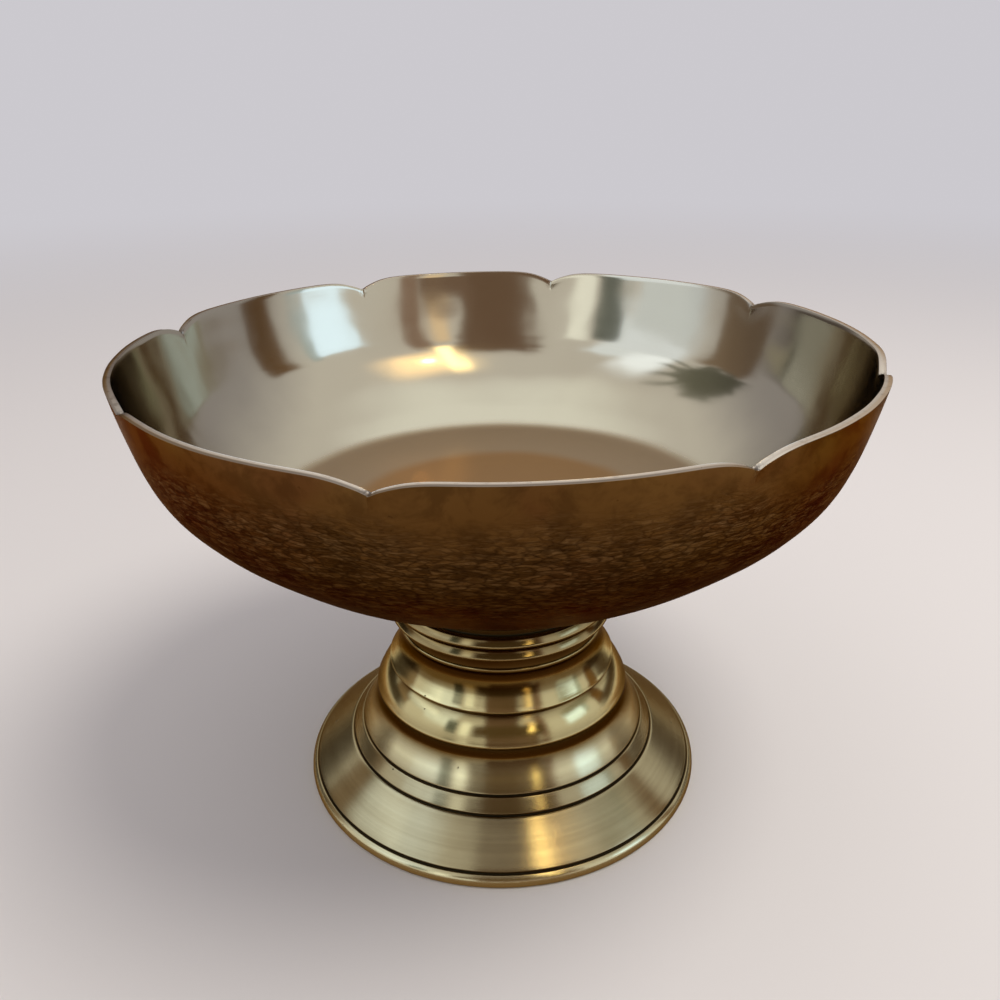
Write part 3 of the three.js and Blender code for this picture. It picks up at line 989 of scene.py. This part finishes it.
@dataclass
class Foot(TurnedPart):
    """The turned, hollow foot with its cove, band, swell, flare and cut lines."""

    node: str = "pedestal_foot"
    columns: int = 380
    rings: int = 260
    cuts: tuple[tuple[float, ...], ...] = ((41.9, 16.1, 0.95), (45.1, 12.4, 0.68), (56.5, 3.7, 0.65))
    cut_half_width_mm: float = 0.42
    cut_depth_mm: float = 0.7
    finish: TurnedFinish = TurnedFinish(
        "foot_brass", (0.80, 0.70, 0.345), (0.64, 0.51, 0.20), 0.09, 0.82, brushed_and_lit_below_mm=23.0
    )

    def cut(self, radius: float, height: float, slope: float) -> list[Corner]:
        """A cut line of V section.

        Args:
            radius: the radius of its middle.
            height: the height of its middle.
            slope: how steeply the surface falls outwards there, in radians.

        Returns:
            Its three corners.
        """
        across, deep = self.cut_half_width_mm, self.cut_depth_mm
        c, s = math.cos(slope), math.sin(slope)
        return [
            (radius - across * c, height + across * s, 0.12, 0.5),
            (radius - deep * s, height - deep * c, 0.18, 2.2),
            (radius + across * c, height - across * s, 0.12, 0.5),
        ]

    def build(self) -> None:
        """Makes the foot's mesh and dresses it."""
        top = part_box(self.node)[1].z / MM
        # The last value is the stain: brown under the collar and under the band and swell is patina in part
        # and painted shade and painted reflection in part; black lines are joints and cut lines.
        rows = [
            (29.3, top, 0.15, 0.6), (29.5, top - 0.3, 0.2, 0.4), (29.5, top - 0.9, 0.25, 0.6),
            (28.5, top - 2.2, 1.2, 1.0), (28.4, top - 4.2, 1.4, 1.0), (29.2, 41.3, 1.2, 0.95),
            (30.1, 39.9, 0.5, 0.8), (30.6, 39.2, 0.4, 0.1), (32.6, 36.5, 0.5, 0.0),
            (32.85, 36.3, 0.15, 0.0), (32.85, 35.9, 0.15, 0.2), (32.3, 35.65, 0.15, 1.2),
            (31.8, 35.25, 0.15, 2.0), (32.3, 34.9, 0.25, 0.7), (34.0, 33.1, 1.2, 0.0),
            (35.6, 30.7, 1.4, 0.0), (36.6, 28.5, 0.7, 0.4), (36.95, 27.9, 0.15, 0.1),
            (36.95, 27.5, 0.15, 0.2), (36.6, 27.1, 0.2, 1.4), (36.6, 24.3, 1.9, 1.0),
            (38.3, 21.3, 1.3, 0.3), (39.4, 19.7, 0.5, 0.0),
        ]
        for radius, height, slope in self.cuts:
            rows += self.cut(radius, height, slope)
        rows += [(58.0, 2.5, 0.9, 0.0), (58.2, 0.8, 0.5, 0.15), (57.7, 0.0, 0.3, 0.6)]
        inside = len(rows)
        rows += [
            (52.5, 0.0, 0.5, 0.3), (41.7, 10.7, 2.0, 0.3), (38.0, 16.1, 2.0, 0.3), (32.8, 27.2, 2.0, 0.3),
            (29.0, 35.5, 2.0, 0.3), (24.9, top - 4.0, 2.0, 0.3), (3.4, top - 4.0, 0.2, 0.3),
            (3.4, top, 0.2, 0.3),
        ]
        piece = self.turn("turned_foot", rows, inside)
        self.dress(piece, self.node, Slot.FOOT, self.finish.material())


@dataclass
class Fixings(Part):
    """The flanged stud under the bowl, with its washer and nut."""

    thread_pitch_mm: float = 1.0
    thread_depth_mm: float = 0.55
    thread_fades_mm: tuple[float, float] = (0.8, 3.0)
    end_taper_mm: float = 0.7
    shank_rings: int = 420
    flange_mm: tuple[tuple[float, float], ...] = (
        (3.0, 0.0), (8.7, 0.0), (9.0, 0.3), (9.0, 1.3), (8.7, 1.6), (0.0, 1.6),
    )
    washer_bore_mm: float = 3.4
    washer_ease_mm: float = 0.25
    washer_rings: int = 60
    nut_bore_mm: float = 3.3
    nut_flats_mm: float = 10.0
    nut_ease_mm: float = 0.4
    nut_rings: int = 40
    stain: float = 0.25
    columns: int = 144
    finish: TurnedFinish = TurnedFinish("fixing_brass", (0.52, 0.43, 0.22), (0.26, 0.18, 0.08), 0.3, 0.2)

    def threaded(self, low: float, high: float, radius: float) -> tuple[Array, Array]:
        """The stud's shank, with a right-hand thread.

        The radius at height z and angle a is the outer radius less the depth times a rounded saw wave of
        z / pitch - a / turn, and the thread runs out at both ends.

        Args:
            low: the height of the shank's end.
            high: the height at which it meets the flange.
            radius: the outer radius.

        Returns:
            Points by ring and column, and the length down the shank of each ring.
        """
        angles = even_angles(self.columns)
        z = np.linspace(low, high, self.shank_rings)[:, None]
        phase = z / mm(self.thread_pitch_mm) - angles / TURN
        wave = np.abs((phase % 1.0) * 2 - 1)
        first, last = (mm(v) for v in self.thread_fades_mm)
        runout = np.clip((high - z) / last, 0, 1) * np.clip((z - low) / first, 0, 1)
        taper = np.clip(mm(self.end_taper_mm) - (z - low), 0, mm(self.end_taper_mm))
        r = radius - mm(self.thread_depth_mm) * np.clip(wave * 1.25 - 0.12, 0, 1) * runout - taper
        return spun(r, z, angles), high - z[:, 0]

    def build(self) -> None:
        """Makes the stud, the washer and the nut, and dresses them."""
        self.build_stud()
        self.build_washer()
        self.build_nut()

    def build_stud(self) -> None:
        """The stud: its shank, and the flange that is brazed to the bowl."""
        lowest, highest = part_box("threaded_stud")
        flange = np.array(self.flange_mm) * MM
        under = highest.z - flange[-1, 1]
        shank, run = self.threaded(lowest.z, under, flange[0, 0])
        flange[:, 1] += under
        end = np.zeros((1, self.columns, 3)) + (0, 0, lowest.z)
        rings = np.concatenate([end, shank, swept(flange, even_angles(self.columns))])
        run = np.concatenate([[0], run, lengths(flange) + run[-1]])
        self.add("flanged_stud", "threaded_stud", rings, run, open_line=True)

    def add(self, name: str, node: str, rings: Array, run: Array, open_line: bool = False) -> None:
        """Makes and dresses one fixing, which is a little stained and has no hollow.

        Args:
            name: the piece's name.
            node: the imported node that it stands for.
            rings: points by ring and column.
            run: each ring's length along the outline.
            open_line: whether the outline runs from axis to axis.
        """
        run = np.repeat(run[:, None], self.columns, 1)
        marks = {"run": run, "stain_and_shade": 0 * run + self.stain, "hollow": 0 * run}
        piece = grid_mesh(name, rings, marks, open_line)
        self.dress(piece, node, Slot.FIXING, self.finish.material())

    def build_washer(self) -> None:
        """The washer: a flat ring with eased edges."""
        lowest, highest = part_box("clamp_washer")
        low, high, outer, bore = lowest.z, highest.z, highest.x, mm(self.washer_bore_mm)
        corners = np.array([(bore, low), (outer, low), (outer, high), (bore, high), (bore, low)])
        line = rounded(corners, np.full(len(corners), mm(self.washer_ease_mm)))
        points, run = resampled(line, self.washer_rings + 1, mm(1))
        rings = swept(points[:-1], even_angles(self.columns))
        self.add("plain_washer", "clamp_washer", rings, run[:-1])

    def build_nut(self) -> None:
        """The nut: its outer radius is the hexagon's, or the turned-off corner's where that is less."""
        lowest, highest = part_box("hex_nut")
        low, high, half, bore = lowest.z, highest.z, mm(self.nut_flats_mm / 2), mm(self.nut_bore_mm)
        angles, sixth = even_angles(self.columns), TURN / 6
        hexagon = half / np.cos((angles + sixth / 2) % sixth - sixth / 2)
        corner = half / math.cos(sixth / 2)
        z = np.linspace(low, high, self.nut_rings)
        eased = corner - mm(0.75) + np.minimum(np.minimum(z - low, high - z) * 1.7, mm(0.8))
        side = np.minimum(hexagon[None, :], eased[:, None])
        ease = mm(self.nut_ease_mm)
        mouth, wall = np.full((1, self.columns), bore + ease), np.full((2, self.columns), bore)
        radius = np.vstack([mouth, side, mouth, wall])
        heights = np.concatenate([[low], z, [high, high - ease, low + ease]])
        self.add("hexagon_nut", "hex_nut", spun(radius, heights[:, None], angles), heights)


def mirrored_only(thing: Object) -> None:
    """Hides a thing from camera, diffuse, transmission and shadow rays, so that only mirroring metal sees
    it.
    """
    thing.visible_camera = thing.visible_diffuse = thing.visible_transmission = thing.visible_shadow = False


@dataclass(frozen=True)
class Card:
    """A soft-edged card, bright or dark, that stands round the set and that only the metal mirrors.

    Its place is given by the way to it from the bowl: azimuth 0 is towards the front and 90 towards +X.
    """

    name: str
    azimuth: float
    elevation: float
    width: float
    height: float
    colour: Colour
    soft: float = 0.3
    away: float = 1.0
    ragged: float = 0.0
    turn: float = 0.0

    def build(self) -> None:
        """Makes the card: a rectangle square to the way, seen under width and height, and turned."""
        azimuth, elevation = math.radians(self.azimuth), math.radians(self.elevation)
        level = math.cos(elevation)
        out = np.array([level * math.sin(azimuth), -level * math.cos(azimuth), math.sin(elevation)])
        side = np.array([math.cos(azimuth), math.sin(azimuth), 0.0])
        up = np.cross(side, -out)
        up *= np.sign(up[2])
        side, up = rolled(side, up, self.turn)
        wide, high = (math.tan(math.radians(v / 2)) * self.away for v in (self.width, self.height))
        card = sheet(self.name, out * self.away + (0, 0, BOWL_MIDDLE), side * wide, up * high)
        card.data.materials.append(self.material())
        mirrored_only(card)

    def material(self) -> Material:
        """Light of the card's colour, fading to nothing over the soft share of its edges.

        Returns:
            The material.
        """
        g = Graph(self.name)
        across, upward = g.mark("across").sized(), g.mark("upward").sized()
        torn = (g.noise(g.place(), 9.0, 3.0, 0.6) - 0.5) * self.ragged
        inner = 1 - self.soft
        mask = (across + torn).between(1.0, inner) * (upward + torn).between(1.0, inner)
        return g.fading(g.node("Emission", inputs={"Color": (*self.colour, 1.0)}), 1 - mask)


STROKES = (
    ("low", -14, -86, 36, 25, 3.2), ("middle", 10, -94, 43, 24, 3.4), ("high", 40, -98, 48, 22, 3.4),
    ("top", 62, -104, 52, 18, 3.0),
)
CARDS = (
    Card("bright_right", 68, 18, 20, 20, (1.02, 1.32, 1.85), 0.10),
    Card("bright_right_edge", 80, 20, 6, 26, (0.42, 0.50, 0.58), 0.4),
    Card("spot", 45, 61, 3.6, 3.6, (26.0, 17.5, 9.0), 0.8, 0.94),
    Card("spot_glow", 48, 61, 32, 26, (1.80, 1.36, 0.92), 0.8, 0.96),
    Card("spot_streak", 28, 58, 8, 34, (3.60, 2.75, 1.55), 0.5, 0.95),
    Card("near_left", -78, 14, 40, 26, (0.68, 0.75, 0.92), 0.4, 0.242),
    Card("near_left_high", -76, 32, 40, 24, (0.86, 0.96, 1.22), 0.4, 0.276),
    Card("foot_front", 5, 3, 66, 26, (0.085, 0.055, 0.028), 0.25, 0.200),
    Card("foot_spot", 24, 0, 8, 9, (3.20, 2.40, 1.10), 0.8, 0.195),
    Card("foot_streak", 25, 0, 6, 14, (1.60, 1.20, 0.60), 0.7, 0.150),
    Card("foot_left", -74, 1, 42, 15, (1.15, 1.27, 1.55), 0.4, 0.150),
    Card("foot_right", 70, 1, 42, 15, (0.29, 0.28, 0.24), 0.4, 0.150),
    Card("warm_front", 25, 24, 9, 34, (0.88, 0.68, 0.50), 0.6, 0.99),
    Card("overhead", 180, 78, 64, 50, (0.84, 0.86, 0.92), 0.6, 1.02),
    Card("bright_left", -60, 32, 30, 42, (0.86, 0.96, 1.20), 0.3),
    Card("bright_left_high", -77, 46, 20, 38, (1.18, 1.32, 1.68), 0.75, 0.97),
    Card("pale_front", -33, 20, 9, 30, (1.00, 1.04, 1.12), 0.3, 0.98),
    Card("dark_front_left", -45, 18, 12, 27, (0.11, 0.125, 0.125), 0.45, 0.96, 0.4),
    Card("dark_front", 0, 28, 32, 67, (0.150, 0.095, 0.070), 0.3, 0.98, 0.5),
    Card("dark_front_low", 20, 8, 26, 25, (0.17, 0.11, 0.085), 0.35, 0.97, 0.3),
    Card("dark_front_right", 36, 24, 10, 54, (0.24, 0.155, 0.125), 0.45, 0.98, 0.5),
    Card("ragged_left", -109, 39, 25, 26, (0.13, 0.13, 0.11), 0.3, 0.95, 1.4),
    *(
        Card(f"stroke_{name}", *place, (0.15, 0.15, 0.13), 0.6, 0.94, 0.3, turn)
        for name, turn, *place in STROKES
    ),
    Card("brown_left", -103, 16, 26, 32, (0.24, 0.175, 0.13), 0.4, 0.96, 0.5),
    Card("brown_right", 97, 16, 13, 34, (0.17, 0.09, 0.035), 0.3, 0.98, 0.5),
    Card("dark_back_left", -136, 2, 52, 28, (0.165, 0.14, 0.13), 0.6),
    Card("low_left", -125, -7, 76, 20, (0.05, 0.038, 0.028), 0.45, 0.36),
    Card("low_right", 125, -7, 76, 20, (0.07, 0.045, 0.028), 0.45, 0.36),
)


@dataclass(frozen=True)
class Ground:
    """A round brown ground under the bowl that only the metal mirrors."""

    name: str = "brown_ground"
    lift_mm: float = 0.5
    ends_at_mm: tuple[float, float] = (270.0, 340.0)
    shade_ends_at_mm: tuple[float, float] = (80.0, 270.0)
    shaded: Colour = (0.165, 0.100, 0.052)
    lit: Colour = (0.400, 0.250, 0.145)

    def build(self) -> None:
        """Makes the ground: a square whose light fades out in a circle, and is darker under the bowl."""
        g = Graph(self.name)
        gone, lit = (g.radius().between(mm(a), mm(b)) for a, b in (self.ends_at_mm, self.shade_ends_at_mm))
        light = g.node("Emission", inputs={"Color": g.layered(self.shaded, (lit, self.lit))})
        half = mm(self.ends_at_mm[1])
        piece = sheet(self.name, (0, 0, mm(self.lift_mm)), (half, 0, 0), (0, half, 0))
        piece.data.materials.append(g.fading(light, gone))
        mirrored_only(piece)


@dataclass
class Studio:
    """The floor, the air, the lights and the camera."""

    camera_back_mm: float = 236.2
    camera_height_mm: float = 189.5
    pitch_degrees: float = 24.18
    yaw_degrees: float = 0.036
    roll_degrees: float = -0.67
    focal_pixels: float = 936.1
    picture_pixels: float = 1000.0
    sensor_mm: float = 36.0
    floor_colour: Colour = (0.78, 0.74, 0.70)
    floor_reach: float = 6.0
    floor_fades_from: float = 0.34
    floor_gone_at: float = 1.5
    air_colour: Colour = (0.60, 0.585, 0.62)
    key_place: tuple[float, float, float] = (0.35, -0.15, 0.95)
    key_width: float = 0.5
    key_watts: float = 5.0
    key_colour: Colour = (1.0, 0.97, 0.93)

    def build(self) -> None:
        """Makes all of it."""
        self.build_camera()
        self.build_floor()
        self.build_air()
        self.build_key()
        for card in (*CARDS, Ground()):
            card.build()
        bpy.context.scene.view_settings.view_transform = "Standard"

    def build_camera(self) -> None:
        """The camera, where the photograph was taken from."""
        data = bpy.data.cameras.new("camera")
        data.sensor_width = self.sensor_mm
        data.lens = self.focal_pixels / self.picture_pixels * self.sensor_mm
        data.clip_start = 0.01
        camera = linked("camera", data)
        pitch, yaw = math.radians(self.pitch_degrees), math.radians(self.yaw_degrees)
        level = math.cos(pitch)
        forward = np.array([math.sin(yaw) * level, math.cos(yaw) * level, -math.sin(pitch)])
        side = np.array([math.cos(yaw), -math.sin(yaw), 0.0])
        right, up = rolled(side, np.cross(side, forward), self.roll_degrees)
        place = (0, -mm(self.camera_back_mm), mm(self.camera_height_mm))
        camera.matrix_world = placed(right, up, -forward, place)
        bpy.context.scene.camera = camera

    def build_floor(self) -> None:
        """A wide, plain, pale floor that fades into the air far out, so that no horizon shows."""
        floor = sheet("floor", (0, 0, 0), (self.floor_reach, 0, 0), (0, self.floor_reach, 0))
        g = Graph("floor")
        matt = g.node("BsdfDiffuse", inputs={"Color": (*self.floor_colour, 1.0)})
        gone = g.radius().between(self.floor_fades_from, self.floor_gone_at)
        floor.data.materials.append(g.fading(matt, gone))

    def build_air(self) -> None:
        """The even light from all round."""
        world = bpy.data.worlds.new("studio")
        world.use_nodes = True
        background = world.node_tree.nodes["Background"]
        background.inputs["Color"].default_value = (*self.air_colour, 1)
        bpy.context.scene.world = world

    def build_key(self) -> None:
        """A high, wide, soft light that gives the floor its shadow, and that the metal doesn't mirror."""
        data = bpy.data.lights.new("key", "AREA")
        data.shape = "DISK"
        data.size, data.energy, data.color = self.key_width, self.key_watts, self.key_colour
        light = linked("key", data)
        back = np.array(self.key_place) / np.linalg.norm(self.key_place)
        side = np.cross((0, 1, 0), back)
        side /= np.linalg.norm(side)
        light.matrix_world = placed(side, np.cross(back, side), back, self.key_place)
        light.visible_glossy = light.visible_camera = False


def main() -> None:
    """Builds the studio and every piece in order."""
    logging.basicConfig(level=logging.INFO, format="%(name)s: %(message)s")
    Studio().build()
    for part in (Bowl(), Collar(), Foot(), Fixings()):
        part.build()


if __name__ == "__main__":
    main()
